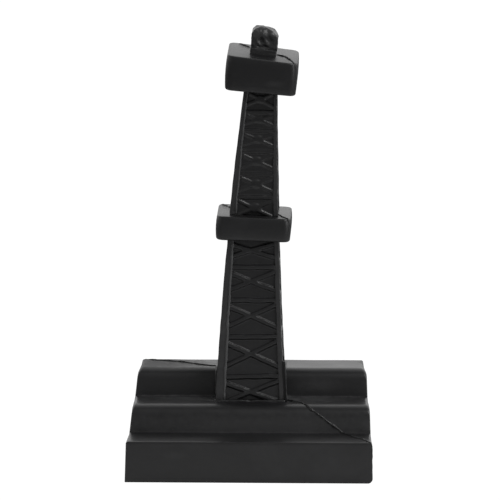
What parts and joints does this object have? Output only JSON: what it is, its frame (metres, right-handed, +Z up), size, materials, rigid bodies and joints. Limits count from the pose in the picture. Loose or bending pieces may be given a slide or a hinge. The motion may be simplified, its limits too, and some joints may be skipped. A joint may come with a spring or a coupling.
{
  "type": "souvenir oil derrick figure",
  "caption": "Black souvenir figure of an oil derrick: a leaning lattice tower with a mid deck, crown deck and crown block on a stepped base.",
  "frame": {"origin": "centre of the base's underside", "axes": "+Z up the tower, front of the stepped base towards -Y, +X to the right seen from the front"},
  "size_m": [0.07, 0.045, 0.1263],
  "materials": {
    "black_skin": "satin"
  },
  "bodies": {
    "root": {"base": "black_skin", "lower_core": "black_skin", "lower_lattice_front": "black_skin", "lower_lattice_right": "black_skin", "lower_lattice_rear": "black_skin", "lower_lattice_left": "black_skin", "lower_leg_front_left": "black_skin", "lower_leg_front_right": "black_skin", "lower_leg_rear_right": "black_skin", "lower_leg_rear_left": "black_skin", "mid_deck": "black_skin", "upper_core": "black_skin", "upper_lattice_front": "black_skin", "upper_lattice_right": "black_skin", "upper_lattice_rear": "black_skin", "upper_lattice_left": "black_skin", "upper_leg_front_left": "black_skin", "upper_leg_front_right": "black_skin", "upper_leg_rear_right": "black_skin", "upper_leg_rear_left": "black_skin", "crown_deck": "black_skin", "crown_block_plate": "black_skin", "crown_block_hood": "black_skin", "crown_block_sheave_left": "black_skin", "crown_block_sheave_right": "black_skin"}
  },
  "joints": []
}
